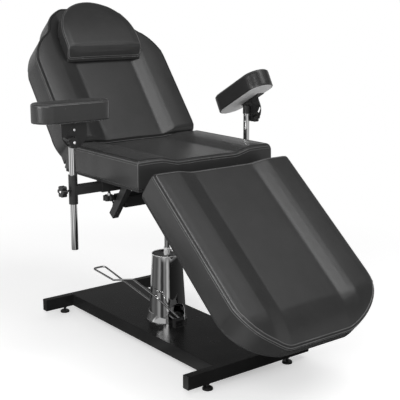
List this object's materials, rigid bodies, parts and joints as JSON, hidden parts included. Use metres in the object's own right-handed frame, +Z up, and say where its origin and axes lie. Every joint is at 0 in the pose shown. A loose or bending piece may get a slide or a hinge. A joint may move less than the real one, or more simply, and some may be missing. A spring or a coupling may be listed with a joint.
{
  "type": "tattoo chair",
  "caption": "Adjustable tattoo chair with padded back, seat and leg rests, two clamped armrests and a head pillow on a foot-pumped lifting base.",
  "frame": {"origin": "on the floor, below the middle of the chair's overall box", "axes": "+X towards the foot end, +Y to the sitter's left, +Z up"},
  "size_m": [1.5607, 1.034, 1.3181],
  "materials": {
    "leather": "satin",
    "black_paint": "satin",
    "chrome": "polished",
    "black_plastic": "matte",
    "steel": "satin",
    "pale_board": "matte",
    "dark_board": "matte"
  },
  "bodies": {
    "base": {"base_cover": "black_paint", "pump_flange": "black_paint", "pump_body": "chrome", "pump_cover": "chrome", "pump_collar": "chrome", "lever_bracket": "black_paint", "crossbar_front": "black_paint", "crossbar_caps_front": "black_plastic", "foot_front_left": "black_plastic", "foot_front_right": "black_plastic", "crossbar_rear": "black_paint", "crossbar_caps_rear": "black_plastic", "foot_rear_left": "black_plastic", "foot_rear_right": "black_plastic"},
    "lever": {"lever_rocker": "black_paint", "foot_lever": "chrome"},
    "ram": {"pump_ram": "chrome", "ram_plate": "black_paint"},
    "seat": {"saddle_frame": "black_paint", "seat_frame": "black_paint", "armrest_cross_tube": "black_paint", "seat_board": "dark_board", "seat_pad": "leather", "tie_rod_left": "black_paint", "tie_rod_right": "black_paint"},
    "back": {"back_frame": "black_paint", "back_crank": "black_paint", "back_shaft": "steel", "back_board": "dark_board", "back_pad": "leather"},
    "pillow": {"head_pillow": "leather"},
    "leg": {"leg_frame": "black_paint", "leg_shaft": "steel", "leg_board": "dark_board", "leg_pad": "leather"},
    "back_spring": {"back_spring_cylinder": "black_paint"},
    "back_spring_bar": {"back_spring_rod": "chrome"},
    "leg_spring": {"leg_spring_cylinder": "black_paint"},
    "leg_spring_bar": {"leg_spring_rod": "chrome"},
    "arm_slide_left": {"arm_slide_left": "black_paint"},
    "post_left": {"arm_post_left": "chrome"},
    "tongue_left": {"tilt_tongue_left": "black_paint"},
    "armrest_left": {"tilt_plate_left": "black_paint", "armrest_board_left": "pale_board", "armrest_pad_left": "leather"},
    "sleeve_knob_left": {"sleeve_knob_left": "black_plastic"},
    "under_knob_left": {"under_knob_left": "black_plastic"},
    "tilt_knob_left": {"tilt_knob_left": "black_plastic"},
    "arm_slide_right": {"arm_slide_right": "black_paint"},
    "post_right": {"arm_post_right": "chrome"},
    "tongue_right": {"tilt_tongue_right": "black_paint"},
    "armrest_right": {"tilt_plate_right": "black_paint", "armrest_board_right": "pale_board", "armrest_pad_right": "leather"},
    "sleeve_knob_right": {"sleeve_knob_right": "black_plastic"},
    "under_knob_right": {"under_knob_right": "black_plastic"},
    "tilt_knob_right": {"tilt_knob_right": "black_plastic"}
  },
  "joints": [
    {"name": "pedal", "type": "hinge", "parent": "base", "child": "lever", "pos_m": [0.0198, 0.021, 0.102], "axis": [0, 1, 0], "range_deg": [-9, 0], "stiffness_Nm_per_rad": 12, "springref_deg": 8.59},
    {"name": "lift", "type": "slide", "parent": "base", "child": "ram", "axis": [0, 0, 1], "range_m": [-0.11, 0.07]},
    {"name": "turn", "type": "hinge", "parent": "ram", "child": "seat", "pos_m": [-0.0872, 0.046, 0.57], "axis": [0, 0, 1], "continuous": true},
    {"name": "back_recline", "type": "hinge", "parent": "seat", "child": "back", "pos_m": [-0.3516, 0.046, 0.655], "axis": [0, 1, 0], "range_deg": [-52, 1.5]},
    {"name": "leg_lift", "type": "hinge", "parent": "seat", "child": "leg", "pos_m": [0.1823, 0.046, 0.656], "axis": [0, 1, 0], "range_deg": [-39.7, 10]},
    {"name": "pillow_slide", "type": "slide", "parent": "back", "child": "pillow", "axis": [-0.6157, 0, 0.788], "range_m": [-0.2, 0]},
    {"name": "back_spring_swing", "type": "hinge", "parent": "seat", "child": "back_spring", "pos_m": [-0.1602, 0.046, 0.59], "axis": [0, 1, 0], "range_deg": [-11.8, 0.83]},
    {"name": "back_spring_travel", "type": "slide", "parent": "back_spring", "child": "back_spring_bar", "axis": [-0.9932, 0, 0.1165], "range_m": [-0.05338, 0.00251]},
    {"name": "leg_spring_swing", "type": "hinge", "parent": "seat", "child": "leg_spring", "pos_m": [-0.0142, 0.046, 0.59], "axis": [0, 1, 0], "range_deg": [-11.42, 3.25]},
    {"name": "leg_spring_travel", "type": "slide", "parent": "leg_spring", "child": "leg_spring_bar", "axis": [0.998, 0, -0.063], "range_m": [-0.01231, 0.0459]},
    {"name": "slide_left", "type": "slide", "parent": "seat", "child": "arm_slide_left", "axis": [0, 1, 0], "range_m": [-0.08, 0.06]},
    {"name": "height_left", "type": "slide", "parent": "arm_slide_left", "child": "post_left", "axis": [0, 0, 1], "range_m": [-0.015, 0.12]},
    {"name": "swivel_left", "type": "hinge", "parent": "post_left", "child": "tongue_left", "pos_m": [-0.0922, 0.458, 0.918], "axis": [0, 0, 1], "continuous": true},
    {"name": "tilt_left", "type": "hinge", "parent": "tongue_left", "child": "armrest_left", "pos_m": [-0.0922, 0.458, 0.918], "axis": [0, -1, 0], "range_deg": [-58.5, 1.5]},
    {"name": "sleeve_clamp_left", "type": "hinge", "parent": "arm_slide_left", "child": "sleeve_knob_left", "pos_m": [-0.0922, 0.458, 0.655], "axis": [0, 1, 0], "continuous": true},
    {"name": "under_clamp_left", "type": "hinge", "parent": "seat", "child": "under_knob_left", "pos_m": [-0.0922, 0.307, 0.655], "axis": [0, 0, 1], "continuous": true},
    {"name": "tilt_clamp_left", "type": "hinge", "parent": "tongue_left", "child": "tilt_knob_left", "pos_m": [-0.07889, 0.458, 0.8554], "axis": [0, 1, 0], "continuous": true},
    {"name": "slide_right", "type": "slide", "parent": "seat", "child": "arm_slide_right", "axis": [0, -1, 0], "range_m": [-0.08, 0.06]},
    {"name": "height_right", "type": "slide", "parent": "arm_slide_right", "child": "post_right", "axis": [0, 0, 1], "range_m": [-0.015, 0.12]},
    {"name": "swivel_right", "type": "hinge", "parent": "post_right", "child": "tongue_right", "pos_m": [-0.0922, -0.366, 0.898], "axis": [0, 0, 1], "continuous": true},
    {"name": "tilt_right", "type": "hinge", "parent": "tongue_right", "child": "armrest_right", "pos_m": [-0.0922, -0.366, 0.898], "axis": [-1, 0, 0], "range_deg": [-30, 30]},
    {"name": "sleeve_clamp_right", "type": "hinge", "parent": "arm_slide_right", "child": "sleeve_knob_right", "pos_m": [-0.0922, -0.366, 0.655], "axis": [0, -1, 0], "continuous": true},
    {"name": "under_clamp_right", "type": "hinge", "parent": "seat", "child": "under_knob_right", "pos_m": [-0.0922, -0.215, 0.655], "axis": [0, 0, 1], "continuous": true},
    {"name": "tilt_clamp_right", "type": "hinge", "parent": "tongue_right", "child": "tilt_knob_right", "pos_m": [-0.0922, -0.37931, 0.8354], "axis": [1, 0, 0], "continuous": true}
  ],
  "couplings": [
    {"joint": "back_spring_swing", "follows": "back_recline", "ratio": 0.21739},
    {"joint": "back_spring_travel", "follows": "back_recline", "m_per_rad": 0.05771},
    {"joint": "leg_spring_swing", "follows": "leg_lift", "ratio": 0.27513},
    {"joint": "leg_spring_travel", "follows": "leg_lift", "m_per_rad": -0.0648}
  ]
}
